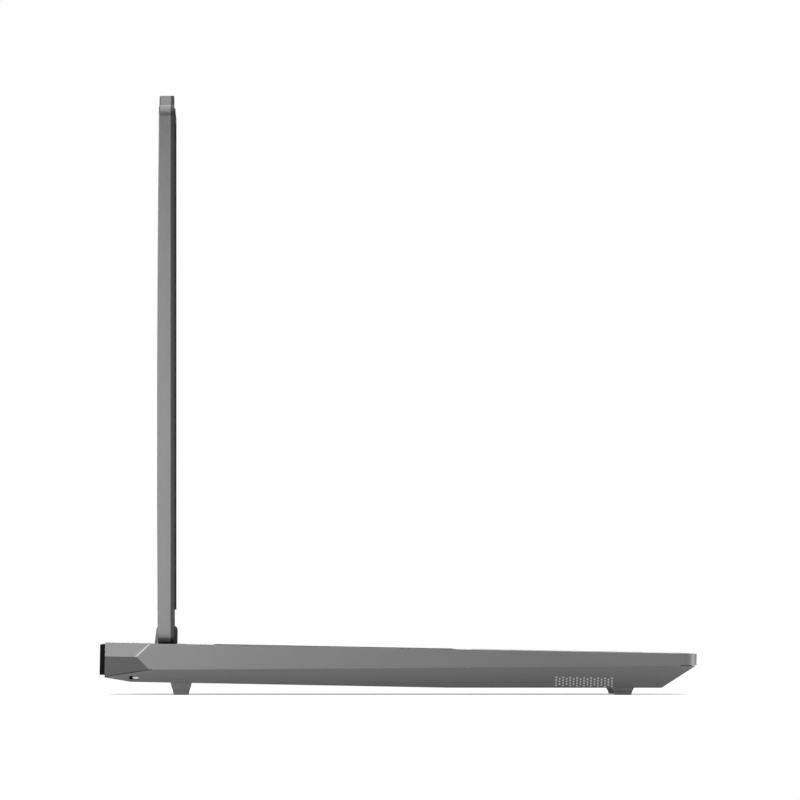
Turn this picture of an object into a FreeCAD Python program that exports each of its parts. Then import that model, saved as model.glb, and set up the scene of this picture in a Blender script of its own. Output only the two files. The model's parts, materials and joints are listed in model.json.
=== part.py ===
import FreeCAD, Part
import math
import os

V = FreeCAD.Vector

# Base: width along X, depth along Y (front is -Y), depths below the deck measured square to it.
base_width = 360.0
base_front_y = -130.0
tail_rear_y = 127.7
base_depth = 16.8
front_depth = 15.1
lip_depth = 5.0
tail_depth = 15.1
front_slant = 15.0
rear_slant = 11.4
flat_floor_setback = 107.5
crease_rear_depth = 11.3
lower_lean = 1.2
corner_radius = 6.0

# Rear shroud: an arrow-shaped joint with the main case, and sides that taper in behind a ridge.
tail_length = 20.0
ridge_run = 6.1
ridge_depth = 5.9
crease_run = 0.6
tail_taper = 0.15

# Sheet and clearances.
wall = 1.6
deck_thickness = 2.8
seam = 0.25
slide_gap = 0.3
seat_gap = 0.3
running_gap = 0.05

# Keyboard.
keyboard_margin = 13.9
keyboard_setback = 23.3
key_row_pitch = 18.0
key_gap = 2.4
function_pitch = 11.0
pad_pitch = 14.8
pad_spacing = 3.0
key_recess = 1.6
key_drop = 0.3
key_height = 2.4
key_travel = 1.2
key_radius = 1.6
key_bevel = 0.4
recess_margin = 2.4
plate_thickness = 1.0

# Touchpad and power button.
touchpad_width = 120.0
touchpad_length = 75.0
touchpad_gap = 7.6
touchpad_thickness = 1.9
power_setback = 11.3
power_radius = 5.0

# Display hinge and lid, measured from the hinge axis.
hinge_setback = 6.4
hinge_rise = 4.3
pin_radius = 1.8
trough_radius = 5.8
tower_inset = 32.4
tower_length = 36.0
tower_front = 4.7
tower_rear = 4.9
tower_rise = 8.2
tower_slant = 0.8
tower_round = 2.4
notch_gap = 0.5
notch_radius = 7.0
lid_inset = 1.6
lid_setback = 1.0
lid_below_axis = 4.1
lid_corner = 4.8
lid_front = 3.4
lid_split = 2.0
lid_back_top = 3.0
lid_back_mid = 3.85
lid_back_low = 3.6
lid_wall = 1.3
lid_edge = 0.5
bump_rise = 6.0
bump_half_width = 46.0
bump_slope = 5.0
bezel_side = 5.9
bezel_top = 4.3
bezel_chin = 14.7
panel_margin = 1.6
panel_thickness = 2.5
gasket_rise = 0.7
gasket_inset = 1.3
gasket_width = 2.2
camera_radius = 2.2
camera_drop = 1.1
camera_half_width = 12.0
leaf_length = 40.0
leaf_width = 16.0
pin_reach = 9.0

# Feet: trapezoids down to rubber pads on the table; their heights set the slope of the deck.
front_stand = 3.18
rear_stand = 5.38
foot_inset = 60.0
foot_half_length = 38.0
rear_foot_setback = 33.05
front_foot_setback = 31.7
foot_half_top = 4.6
foot_half_low = 3.2
rear_pad_height = 2.7
front_pad_height = 2.0

# Rear port panel and its sockets, each socket given by its place and its opening.
port_panel_thickness = 2.2
port_panel_inset = 8.0
port_panel_lap = 2.0
port_panel_top_depth = 0.8
port_panel_low_depth = 14.0
port_depth = 12.0
port_shell = 0.6
socket_mid_depth = 7.6
tongue_thickness = 1.0
power_inlet_x = 52.0
power_inlet_size = (12.0, 5.2)
network_x = -60.0
network_size = (12.4, 8.0)
video_x = 22.0
video_size = (15.0, 5.0)
usb_a_x = (-34.0, -10.0)
usb_a_size = (12.6, 5.2)
usb_c_x = 5.4
usb_c_size = (9.0, 3.2)
vent_inset = 70.0
vent_pitch = 4.4
vent_count = 14
vent_width = 2.2
vent_half_height = 4.2

# Right-hand side: headset socket and lens-cover slider, set back from the speaker.
jack_setback = 27.0
jack_depth = 11.2
jack_radius = 1.8
jack_body = 7.0
jack_length = 14.0
jack_hole_gap = 1.25
shutter_setback = 3.0
shutter_length = 7.0
shutter_slot = 11.0
shutter_travel = 1.5
shutter_height = 2.0
shutter_plate = 3.0

# Cooling.
fan_x = 92.0
fan_setback = 18.0
fan_radius = 33.0
fan_gap = 1.5
fan_housing_half = 38.0
fan_floor_depth = 14.9
fan_height = 7.4
fan_sheet = 0.8
fan_hub_radius = 12.0
fan_axle_radius = 2.0
fan_intake_radius = 24.75
fan_spoke_width = 4.0
fan_blades = 27
blade_thickness = 0.8
blade_sweep = 18.0
intake_pitch = 5.0
intake_width = 2.2
intake_count = 13
intake_half_length = 30.0
fin_inset = 72.0
fin_count = 22
fin_pitch = 3.0
fin_thickness = 0.6
fin_setback = 4.2
fin_length = 13.0
fin_top_depth = 4.0
fin_height = 8.6
pipe_width = 8.0
pipe_thickness = 2.4

# Board and what it carries.
board_thickness = 1.2
board_band_half_width = 150.0
board_band_depth = 34.0
board_fan_gap = 2.0
board_neck_half_width = 50.0
board_rear_setback = 23.7
chip_size = 30.0
chip_thickness = 1.4
chip_x = (-24.0, 24.0)
chip_setback = 2.0
cold_plate_size = 40.0
cold_plate_thickness = 1.5
memory_x = -2.0
memory_size = (68.0, 12.0, 3.6)
memory_setbacks = (8.0, 23.0)
drive_x = 90.0
drive_size = (80.0, 22.0, 3.0)
wireless_x = -80.0
wireless_size = (22.0, 22.0, 2.4)
card_setback = 17.0
battery_side_gap = 12.0
battery_front_setback = 27.0
battery_board_gap = 18.0
battery_top_depth = 4.6
battery_low_depth = 13.0
battery_cells = 4
speaker_inset = 14.0
speaker_width = 42.0
speaker_setback = 29.0
speaker_length = 40.0
speaker_top_depth = 5.0
speaker_low_depth = 13.2

# Speaker grille: staggered columns of small holes in the side of the lower cover.
grille_setback = 8.0
grille_pitch = 1.52
grille_columns = 17
grille_rows = 4
grille_hole_radius = 0.42
grille_mid_depth = 13.15
grille_row_pitch = 1.16

# Lock slot at the rear left of the lower cover.
lock_setback = 12.9
lock_depth = 15.0
lock_length = 4.4
lock_height = 1.5

# Screws under the lower cover, set in from what they stand beside.
screw_head_radius = 2.6
screw_head_height = 1.2
screw_shank_radius = 1.2
screw_length = 4.0
screw_boss_radius = 4.2
screw_boss_height = 4.4
rear_screw_inset = 30.0
rear_screw_setback = 1.3
inner_screw_x = 50.0
inner_screw_run = 2.7
side_screw_inset = 20.0
side_screw_y = 6.0
battery_screw_gap = 6.0
battery_screw_setback = 16.0
front_screw_setback = 6.0

# Places that follow from the sizes above, across the width.
half_width = base_width / 2.0
lid_half_width = half_width - lid_inset
window_half_width = lid_half_width - bezel_side
tower_outer_x = lid_half_width - tower_inset
tower_inner_x = tower_outer_x - tower_length
port_panel_half_width = half_width - port_panel_inset
shroud_inner = port_panel_half_width - port_panel_lap
fin_first_x = port_panel_half_width - fin_inset
vent_first_x = port_panel_half_width - vent_inset
speaker_outer_x = half_width - speaker_inset
speaker_inner_x = speaker_outer_x - speaker_width
battery_half_width = speaker_inner_x - battery_side_gap
foot_x = half_width - foot_inset
keyboard_left_x = keyboard_margin - half_width
key_pitch = (base_width - 2 * keyboard_margin - pad_spacing - 4 * pad_pitch) / 15.0

# Places along the depth, from the rear.
joint_top_y = tail_rear_y - tail_length
ridge_y = joint_top_y + ridge_run
crease_rear_y = joint_top_y + crease_run
floor_rear_y = tail_rear_y - rear_slant
hinge_y = joint_top_y - hinge_setback
keyboard_rear_y = hinge_y - keyboard_setback
keyboard_front_y = keyboard_rear_y - function_pitch - 5 * key_row_pitch
touchpad_rear_y = keyboard_front_y - recess_margin - touchpad_gap
touchpad_front_y = touchpad_rear_y - touchpad_length
power_y = hinge_y - power_setback
fan_y = keyboard_rear_y - fan_setback
fin_front_y = tail_rear_y - fin_setback - fin_length
board_rear_y = tail_rear_y - board_rear_setback
board_band_rear_y = fan_y - fan_housing_half - board_fan_gap
board_front_y = board_band_rear_y - board_band_depth
chip_y = fan_y + chip_setback
battery_rear_y = board_front_y - battery_board_gap
rear_foot_y = tail_rear_y - rear_foot_setback
lock_y = tail_rear_y - lock_setback

# Places along the depth, from the front.
floor_front_y = base_front_y + front_slant
flat_floor_front_y = base_front_y + flat_floor_setback
front_foot_y = base_front_y + front_foot_setback
battery_front_y = base_front_y + battery_front_setback
speaker_front_y = base_front_y + speaker_setback
speaker_rear_y = speaker_front_y + speaker_length
grille_first_y = speaker_rear_y - grille_setback
jack_y = speaker_rear_y + jack_setback
shutter_y = speaker_rear_y + shutter_setback

# Lid heights from the hinge axis: closed, the lid reaches the front of the deck.
lid_above_axis = hinge_y - base_front_y - lid_setback
window_high = lid_above_axis - bezel_top
window_low = bezel_chin - lid_below_axis

# Longer than any sheet that a cut has to pass through.
far = 20.0


def floor_drop(y):
    """Depth of the underside below the deck."""
    share = max(0.0, (flat_floor_front_y - y) / (flat_floor_front_y - floor_front_y))
    return -base_depth + share * (base_depth - front_depth)


deck_gain = rear_stand - floor_drop(rear_foot_y) - front_stand + floor_drop(front_foot_y)
deck_slope = math.degrees(math.atan2(deck_gain, rear_foot_y - front_foot_y))
deck_mid_z = rear_stand - floor_drop(rear_foot_y) - rear_foot_y * math.tan(math.radians(deck_slope))


def box(x0, x1, y0, y1, z0, z1):
    """A block between two corners."""
    return Part.makeBox(x1 - x0, y1 - y0, z1 - z0, V(x0, y0, z0))


def polygon(points):
    """A flat face inside a closed ring of points."""
    return Part.Face(Part.makePolygon(points + points[:1]))


def prism_x(points, x0, x1):
    """A (y, z) outline drawn out along X."""
    return polygon([V(x0, y, z) for y, z in points]).extrude(V(x1 - x0, 0, 0))


def prism_z(points, z0, z1):
    """An (x, y) outline drawn up along Z."""
    return polygon([V(x, y, z0) for x, y in points]).extrude(V(0, 0, z1 - z0))


def rod(base, axis, radius, length):
    """A round bar."""
    return Part.makeCylinder(radius, length, base, axis)


def plate(x0, x1, y0, y1, z0, z1, radius):
    """A block with its upright edges rounded."""
    block = box(x0, x1, y0, y1, z0, z1)
    upright = [e for e in block.Edges if abs(e.Vertexes[0].Z - e.Vertexes[1].Z) > (z1 - z0) / 2.0]
    return block.makeFillet(radius, upright)


def cut_all(shape, tools):
    """The shape with every tool taken away."""
    return shape.cut(Part.Compound(tools))


def mirrored(shape):
    """The same shape on the other side of the middle."""
    return shape.mirror(V(0, 0, 0), V(1, 0, 0))


def on_deck(shape):
    """A shape drawn with the deck level, set on the sloping deck of the finished object."""
    placed = shape.copy()
    placed.rotate(V(0, 0, 0), V(1, 0, 0), deck_slope)
    placed.translate(V(0, 0, deck_mid_z))
    return placed


def deck_point(y, z):
    """Where a point of the level deck drawing stands in the finished object."""
    turned = math.radians(deck_slope)
    across = y * math.cos(turned) - z * math.sin(turned)
    up = deck_mid_z + y * math.sin(turned) + z * math.cos(turned)
    return across, up


def save(name, *shapes):
    """One file for one named piece, or for a group of like pieces."""
    solids = [solid for shape in shapes for solid in shape.Solids]
    Part.Compound(solids).exportStep("parts/" + name + ".step")


def crease_z(y):
    """Height of the crease along the side, seen from the deck."""
    rise = (crease_rear_depth - lip_depth) / (crease_rear_y - base_front_y)
    return -lip_depth - rise * (y - base_front_y)


def side_profile(inset):
    """The base seen from the side, drawn in by a sheet thickness."""
    points = [(base_front_y, 0), (tail_rear_y, 0), (tail_rear_y, -tail_depth), (floor_rear_y, -base_depth),
              (flat_floor_front_y, -base_depth), (floor_front_y, -front_depth), (base_front_y, -lip_depth)]
    face = polygon([V(0, y, z) for y, z in points])
    if inset:
        face = face.makeOffset2D(-inset, 2)
    return face


def lean_cutters(inset):
    """The two wedges that make the lower sides lean in below the crease."""
    start = base_front_y - far
    end = tail_rear_y + far
    reach = half_width - inset * math.hypot(1.0, lower_lean)
    drop = base_depth + far
    corner = [V(reach, start, crease_z(start)), V(half_width + far, start, crease_z(start)),
              V(half_width + far, start, crease_z(start) - drop),
              V(reach - lower_lean * drop, start, crease_z(start) - drop)]
    wedge = polygon(corner).extrude(V(0, end - start, crease_z(end) - crease_z(start)))
    return [wedge, mirrored(wedge)]


def base_form(inset):
    """The whole lower half of the computer as one block, or the hollow inside it."""
    face = side_profile(inset)
    reach = half_width - inset
    face.translate(V(-reach, 0, 0))
    block = face.extrude(V(2 * reach, 0, 0))
    rounded = plate(-reach, reach, base_front_y + inset, tail_rear_y + far, -base_depth - far, far,
                    max(corner_radius - inset, seam))
    return cut_all(block.common(rounded), lean_cutters(inset))


def case_region(gap):
    """The part of the side view that belongs to the upper case."""
    return prism_x([(base_front_y - far, far), (joint_top_y - gap, far), (joint_top_y - gap, 0),
                    (ridge_y - gap, -ridge_depth), (crease_rear_y - gap, crease_z(crease_rear_y)),
                    (base_front_y - far, crease_z(base_front_y - far))], -half_width - far, half_width + far)


def tail_leans():
    """How fast the shroud's sides draw in, going down from the ridge and going up from it."""
    down = tail_taper * (ridge_y - crease_rear_y) / (crease_rear_depth - ridge_depth)
    up = tail_taper * (ridge_y - joint_top_y) / ridge_depth
    return down, up


def tail_seam_z(y):
    """Height of the seam between the shroud and the lower cover, where their two sides meet."""
    down = tail_leans()[0]
    gain = tail_taper * (y - ridge_y) - down * ridge_depth - lower_lean * crease_z(y)
    return gain / (down - lower_lean)


def shroud_region():
    """The part of the side view that belongs to the rear shroud."""
    outline = [(joint_top_y, far), (joint_top_y, 0), (ridge_y, -ridge_depth),
               (crease_rear_y, -crease_rear_depth), (tail_rear_y, tail_seam_z(tail_rear_y)), (tail_rear_y, far)]
    return prism_x(outline, -half_width - far, half_width + far)


def cover_region():
    """The space of the lower cover: below the seams, and the whole floor between the shroud's sides."""
    below = prism_x([(base_front_y - far, crease_z(base_front_y - far) - seam),
                     (crease_rear_y, -crease_rear_depth - seam),
                     (tail_rear_y, tail_seam_z(tail_rear_y) - seam), (tail_rear_y, -base_depth - far),
                     (base_front_y - far, -base_depth - far)], -half_width - far, half_width + far)
    middle = shroud_inner - seam
    return below.fuse(box(-middle, middle, crease_rear_y, tail_rear_y, -base_depth, -tail_depth + wall))


def row_keys(widths, left_x, mid_y, depth, pitch):
    """Centres and sizes of one row of keys, given their widths in pitches; a gap is negative."""
    keys = []
    edge = left_x
    for width in widths:
        if width > 0:
            keys.append((edge + width * pitch / 2.0, mid_y, width * pitch - key_gap, depth - key_gap))
        edge += abs(width) * pitch
    return keys


def key_layout():
    """Every key as (x, y, width, depth), grouped by the name of its piece."""
    left = keyboard_left_x
    rows = [keyboard_rear_y - function_pitch - key_row_pitch * (n + 0.5) for n in range(5)]
    top = keyboard_rear_y - function_pitch / 2.0
    pad_left = left + 15 * key_pitch + pad_spacing
    number = row_keys([1] * 13 + [2], left, rows[0], key_row_pitch, key_pitch)
    upper = row_keys([1.5] + [1] * 12 + [1.5], left, rows[1], key_row_pitch, key_pitch)
    home = row_keys([1.8] + [1] * 11 + [2.2], left, rows[2], key_row_pitch, key_pitch)
    lower = row_keys([2.3] + [1] * 10 + [2.7], left, rows[3], key_row_pitch, key_pitch)
    bottom = row_keys([1.2, 1, 1, 1.2, 5.4, 1.2, 1], left, rows[4], key_row_pitch, key_pitch)
    pad = []
    for n in range(4):
        pad += row_keys([1] * 4, pad_left, rows[n], key_row_pitch, pad_pitch)
    pad += row_keys([2, 1, 1], pad_left, rows[4], key_row_pitch, pad_pitch)
    half = key_row_pitch / 2.0
    arrow_left = left + 12 * key_pitch
    arrows = row_keys([-1, 1], arrow_left, rows[4] + half / 2.0, half, key_pitch)
    arrows += row_keys([1, 1, 1], arrow_left, rows[4] - half / 2.0, half, key_pitch)
    return {
        "function_keys": row_keys([1] * 15, left, top, function_pitch, key_pitch)
        + row_keys([1] * 4, pad_left, top, function_pitch, pad_pitch),
        "number_keys": number[:-1], "backspace_key": number[-1:],
        "upper_letter_keys": upper[1:], "tab_key": upper[:1],
        "home_letter_keys": home[1:-1], "caps_key": home[:1], "enter_key": home[-1:],
        "lower_letter_keys": lower[1:-1], "left_shift_key": lower[:1], "right_shift_key": lower[-1:],
        "modifier_keys": bottom[:4] + bottom[5:], "space_bar": bottom[4:5],
        "arrow_keys": arrows, "number_pad_keys": pad}


def keycap(x, y, width, depth):
    """One key: a block with rounded corners and a bevelled top."""
    top = -key_drop
    cap = plate(x - width / 2, x + width / 2, y - depth / 2, y + depth / 2, top - key_height, top, key_radius)
    rim = [e for e in cap.Edges if all(abs(v.Z - top) < 1e-6 for v in e.Vertexes)]
    return cap.makeChamfer(key_bevel, rim)


def key_holes():
    """Holes in the deck that the keys stand in."""
    holes = []
    for keys in key_layout().values():
        for x, y, width, depth in keys:
            wide = width / 2 + slide_gap
            deep = depth / 2 + slide_gap
            holes.append(plate(x - wide, x + wide, y - deep, y + deep, -deck_thickness - 1, far, key_radius))
    return holes


def keyboard_span():
    """Corners of the area that the keys take up."""
    right = keyboard_left_x + 15 * key_pitch + pad_spacing + 4 * pad_pitch
    return keyboard_left_x, right, keyboard_front_y, keyboard_rear_y


def hinge_trough(x0, x1):
    """Round groove that the foot of the lid turns in."""
    return rod(V(x0, hinge_y, hinge_rise), V(1, 0, 0), trough_radius, x1 - x0)


def make_top_case():
    case = base_form(0).common(case_region(0))
    hollow = base_form(wall)
    under_deck = box(-half_width, half_width, base_front_y, tail_rear_y + far, -base_depth, -deck_thickness)
    case = case.cut(hollow.common(under_deck))
    left, right, front, rear = keyboard_span()
    recess = plate(left - recess_margin, right + recess_margin, front - recess_margin, rear + recess_margin,
                   -key_recess, far, key_radius)
    side = lid_half_width + notch_gap
    troughs = [hinge_trough(-side, -tower_outer_x), hinge_trough(-tower_inner_x, tower_inner_x),
               hinge_trough(tower_outer_x, side)]
    pad = touchpad_width / 2 + slide_gap
    pad_hole = plate(-pad, pad, touchpad_front_y - slide_gap, touchpad_rear_y + slide_gap, -far, far,
                     key_radius)
    button = rod(V(0, power_y, -far), V(0, 0, 1), power_radius + slide_gap, 2 * far)
    case = cut_all(case, [recess, pad_hole, button] + troughs)
    return cut_all(case, key_holes())


def make_bottom_cover():
    cover = base_form(0).common(cover_region()).cut(base_form(wall))
    for x, y in screw_places():
        boss = rod(V(x, y, -base_depth + seam), V(0, 0, 1), screw_boss_radius, screw_boss_height)
        cover = cover.fuse(boss.common(base_form(wall / 2)))
    tools = [screw(x, y, running_gap) for x, y in screw_places()]
    for middle in (-fan_x, fan_x):
        for n in range(intake_count):
            y = fan_y + (n - (intake_count - 1) / 2.0) * intake_pitch
            tools.append(plate(middle - intake_half_length, middle + intake_half_length, y - intake_width / 2,
                               y + intake_width / 2, -base_depth - far, -base_depth + far,
                               intake_width / 2 - seam))
    tools += grille_holes()
    tools += right_side_holes()
    slot = plate(lock_y - lock_length / 2, lock_y + lock_length / 2, -lock_height / 2, lock_height / 2, 0,
                 2 * far, lock_height / 2 - running_gap)
    slot.rotate(V(0, 0, 0), V(0, 0, 1), 90)
    slot.rotate(V(0, 0, 0), V(0, 1, 0), -90)
    slot.translate(V(-half_width + far, 0, -lock_depth))
    tools.append(slot)
    return cut_all(cover, tools)


def grille_holes():
    """Staggered columns of holes, four and three by turns, on both sides."""
    holes = []
    for n in range(grille_columns):
        count = grille_rows - n % 2
        y = grille_first_y - n * grille_pitch
        for row in range(count):
            z = -grille_mid_depth + (row - (count - 1) / 2.0) * grille_row_pitch
            for x in (-half_width, speaker_outer_x):
                holes.append(rod(V(x, y, z), V(1, 0, 0), grille_hole_radius, half_width - speaker_outer_x))
    return holes


def right_side_holes():
    """The headset socket's hole and the slot of the lens-cover slider."""
    hole = rod(V(half_width - far, jack_y, -jack_depth), V(1, 0, 0), jack_radius + jack_hole_gap, 2 * far)
    low = -jack_depth - shutter_height / 2 - seam
    high = -jack_depth + shutter_height / 2 + seam
    slot = box(half_width - far, half_width + far, shutter_y - shutter_slot / 2,
               shutter_y + shutter_slot / 2, low,
               high)
    return [hole, slot]


def screw_places():
    """Where the screws stand, seen from above."""
    places = [(0.0, floor_front_y + front_screw_setback)]
    for side in (-1, 1):
        places.append((side * (half_width - rear_screw_inset), hinge_y - rear_screw_setback))
        places.append((side * inner_screw_x, hinge_y + inner_screw_run))
        places.append((side * (half_width - side_screw_inset), side_screw_y))
        places.append((side * (battery_half_width + battery_screw_gap),
                       speaker_rear_y + battery_screw_setback))
    return places


def screw(x, y, gap):
    """A flat-headed screw seated in the floor, or the hole for it."""
    floor = floor_drop(y) + seam
    head = rod(V(x, y, floor - (far if gap else 0)), V(0, 0, 1), screw_head_radius + gap,
               screw_head_height + gap + (far if gap else 0))
    shank = rod(V(x, y, floor), V(0, 0, 1), screw_shank_radius + gap, screw_length + gap)
    return head.fuse(shank)


def make_shroud():
    """The whole tail cover: top and sides, open to the rear and below."""
    region = base_form(0).common(shroud_region())
    wedges = tail_cutters()
    outer = cut_all(region, wedges + [mirrored(w) for w in wedges])
    inner = shroud_inner
    return outer.cut(box(-inner, inner, joint_top_y - far, tail_rear_y + far, -base_depth, -deck_thickness))


def make_rear_shroud():
    """Upper half of the tail cover, down to the ridge."""
    lower = box(-half_width - far, half_width + far, joint_top_y - far, tail_rear_y + far, -base_depth,
                -ridge_depth)
    return make_shroud().cut(lower)


def make_shroud_cheeks():
    """Lower halves of the tail cover's two sides, below the ridge."""
    lower = box(-half_width - far, half_width + far, joint_top_y - far, tail_rear_y + far, -base_depth,
                -ridge_depth)
    return make_shroud().common(lower)


def tail_cutters():
    """The two wedges that taper one side of the shroud, above and below its ridge."""
    down, up = tail_leans()
    start = crease_rear_y - far
    run = tail_rear_y + far - start
    reach = half_width - tail_taper * (start - ridge_y)
    wide = half_width + 2 * far
    shapes = []
    for lean, rise in ((up, 2 * far), (down, -2 * far)):
        corner = [V(reach, start, -ridge_depth), V(wide, start, -ridge_depth),
                  V(wide, start, rise - ridge_depth),
                  V(reach - lean * 2 * far, start, rise - ridge_depth)]
        shapes.append(polygon(corner).extrude(V(-tail_taper * run, run, 0)))
    return shapes


def socket_cut(x, size):
    """The hole in the rear panel for one socket."""
    return box(x - size[0] / 2, x + size[0] / 2, tail_rear_y - far, tail_rear_y + far,
               -socket_mid_depth - size[1] / 2, -socket_mid_depth + size[1] / 2)


def make_rear_panel():
    front = tail_rear_y
    panel = plate(-port_panel_half_width, port_panel_half_width, -port_panel_low_depth,
                  -port_panel_top_depth, 0,
                  port_panel_thickness, key_radius)
    panel.rotate(V(0, 0, 0), V(1, 0, 0), 90)
    panel.translate(V(0, front + port_panel_thickness, 0))
    tools = [socket_cut(power_inlet_x, power_inlet_size), socket_cut(network_x, network_size),
             socket_cut(video_x, video_size), socket_cut(usb_c_x, usb_c_size)]
    tools += [socket_cut(x, usb_a_size) for x in usb_a_x]
    for n in range(vent_count):
        x = vent_first_x + n * vent_pitch
        for side in (-x, x):
            tools.append(box(side - vent_width / 2, side + vent_width / 2, front - far, front + far,
                             -socket_mid_depth - vent_half_height, -socket_mid_depth + vent_half_height))
    return cut_all(panel, tools)


def make_port(x, size):
    """A socket: a metal can behind the rear panel, with a contact tongue set back inside it."""
    wide = size[0] / 2
    high = size[1] / 2
    rear = tail_rear_y
    can = box(x - wide - port_shell, x + wide + port_shell, rear - port_depth, rear,
              -socket_mid_depth - high - port_shell, -socket_mid_depth + high + port_shell)
    can = can.cut(box(x - wide, x + wide, rear - port_depth + port_shell, rear + far,
                      -socket_mid_depth - high,
                      -socket_mid_depth + high))
    inner = box(x - wide + port_shell, x + wide - port_shell, rear - port_depth + port_shell,
                rear - port_depth / 2,
                -socket_mid_depth - tongue_thickness / 2, -socket_mid_depth + tongue_thickness / 2)
    return can.fuse(inner)


def inner_wall_x(y, depth):
    """Where the inside of the leaning right-hand wall stands."""
    return half_width - lower_lean * (depth + crease_z(y)) - wall * math.hypot(1.0, lower_lean)


def make_jack():
    """Headset socket: a block with a round hole open to the right-hand side."""
    outer = inner_wall_x(jack_y, jack_depth + jack_body / 2) - seam
    block = box(outer - jack_length, outer, jack_y - jack_body / 2, jack_y + jack_body / 2,
                -jack_depth - jack_body / 2,
                -jack_depth + jack_body / 2)
    hole = rod(V(outer - jack_length + wall, jack_y, -jack_depth), V(1, 0, 0), jack_radius, jack_length)
    return block.cut(hole)


def make_shutter():
    """Lens-cover slider: a thumb bar in its slot, with a wider plate behind the wall."""
    low = jack_depth + shutter_height / 2
    nearest_y = shutter_y - shutter_slot - shutter_travel
    inside = inner_wall_x(nearest_y, low + shutter_plate / 2) - slide_gap
    skin = inner_wall_x(shutter_y, low) + wall * math.hypot(1.0, lower_lean) - seam
    bar = box(inside, skin, shutter_y - shutter_length / 2, shutter_y + shutter_length / 2, -low,
              -jack_depth + shutter_height / 2)
    back = box(inside - wall, inside, shutter_y - shutter_slot, shutter_y + shutter_slot,
               -low - shutter_plate / 2,
               -jack_depth + shutter_height / 2 + shutter_plate / 2)
    return bar.fuse(back)


def make_tower(side):
    """Fixed hinge tower on the deck, bored for the lid's pin."""
    y = hinge_y
    points = [(y - tower_front, 0), (y + tower_rear, 0), (y + tower_rear - tower_slant, tower_rise),
              (y - tower_front, tower_rise)]
    x0, x1 = sorted((side * tower_inner_x, side * tower_outer_x))
    body = prism_x(points, x0, x1)
    top = [e for e in body.Edges if e.BoundBox.XLength > 1 and e.BoundBox.ZMin > tower_rise / 2]
    body = body.makeFillet(tower_round, top)
    return body.cut(rod(V(x0 - 1, hinge_y, hinge_rise), V(1, 0, 0), pin_radius + running_gap, x1 - x0 + 2))


def make_fan_housing(x):
    """Fan tray with a round chamber, an outlet to the rear and an axle."""
    low = -fan_floor_depth
    high = low + fan_height + 2 * fan_sheet
    half = fan_housing_half
    body = plate(x - half, x + half, fan_y - half, fan_y + half, low, high, corner_radius)
    chamber = rod(V(x, fan_y, low + fan_sheet), V(0, 0, 1), fan_radius + fan_gap, far)
    outlet = box(x - half + 2 * wall, x + half - 2 * wall, fan_y, fan_y + half + far, low + fan_sheet, far)
    intake = rod(V(x, fan_y, low - far), V(0, 0, 1), fan_intake_radius, 2 * far)
    spoke = fan_spoke_width / 2
    spokes = [box(x - fan_radius, x + fan_radius, fan_y - spoke, fan_y + spoke, low, low + fan_sheet),
              box(x - spoke, x + spoke, fan_y - fan_radius, fan_y + fan_radius, low, low + fan_sheet)]
    hub = rod(V(x, fan_y, low), V(0, 0, 1), fan_hub_radius, fan_sheet)
    axle = rod(V(x, fan_y, low), V(0, 0, 1), fan_axle_radius, fan_height)
    body = cut_all(body, [chamber, outlet, intake])
    return body.multiFuse(spokes + [hub, axle]).removeSplitter()


def make_impeller(x):
    """Fan wheel: a hub on the axle and a ring of swept blades."""
    low = -fan_floor_depth + fan_sheet + seat_gap
    high = low + fan_height - 2 * fan_sheet - seat_gap
    hub = rod(V(x, fan_y, low), V(0, 0, 1), fan_hub_radius, high - low)
    blades = []
    for n in range(fan_blades):
        blade = box(fan_hub_radius - 1, fan_radius, -blade_thickness / 2, blade_thickness / 2, low, high)
        blade.rotate(V(fan_hub_radius, 0, 0), V(0, 0, 1), blade_sweep)
        blade.rotate(V(0, 0, 0), V(0, 0, 1), 360.0 * n / fan_blades)
        blade.translate(V(x, fan_y, 0))
        blades.append(blade)
    wheel = hub.multiFuse(blades)
    keep = rod(V(x, fan_y, low), V(0, 0, 1), fan_radius, high - low)
    return wheel.common(keep).cut(rod(V(x, fan_y, low - 1), V(0, 0, 1), fan_axle_radius + running_gap, far))


def make_fins(side):
    """Radiator behind the rear vent: thin fins under one top sheet."""
    x0 = fin_first_x
    x1 = fin_first_x + (fin_count - 1) * fin_pitch + fin_thickness
    pieces = [box(x0, x1, fin_front_y, fin_front_y + fin_length, -fin_top_depth - fin_thickness,
                  -fin_top_depth)]
    for n in range(fin_count):
        x = fin_first_x + n * fin_pitch
        pieces.append(box(x, x + fin_thickness, fin_front_y, fin_front_y + fin_length,
                          -fin_top_depth - fin_height,
                          -fin_top_depth - fin_thickness))
    comb = pieces[0].multiFuse(pieces[1:])
    return comb if side > 0 else mirrored(comb)


def board_top():
    """Height of the upper face of the main board, just under the keyboard plate."""
    return keyboard_plate_low() - seat_gap


def keyboard_plate_low():
    return -key_drop - key_height - key_travel - seat_gap - plate_thickness


def make_keyboard_plate():
    left, right, front, rear = keyboard_span()
    low = keyboard_plate_low()
    return plate(left - recess_margin, right + recess_margin, front - recess_margin, rear + recess_margin,
                 low,
                 low + plate_thickness, key_radius)


def make_board():
    high = board_top()
    band = board_band_half_width
    neck = board_neck_half_width
    outline = [(-band, board_front_y), (band, board_front_y), (band, board_band_rear_y),
               (neck, board_band_rear_y),
               (neck, board_rear_y), (-neck, board_rear_y), (-neck, board_band_rear_y),
               (-band, board_band_rear_y)]
    return prism_z(outline, high - board_thickness, high)


def under_board(x, y, size_x, size_y, drop, thickness):
    """A block that hangs under the main board."""
    top = board_top() - board_thickness - drop
    return box(x - size_x / 2, x + size_x / 2, y - size_y / 2, y + size_y / 2, top - thickness, top)


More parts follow.
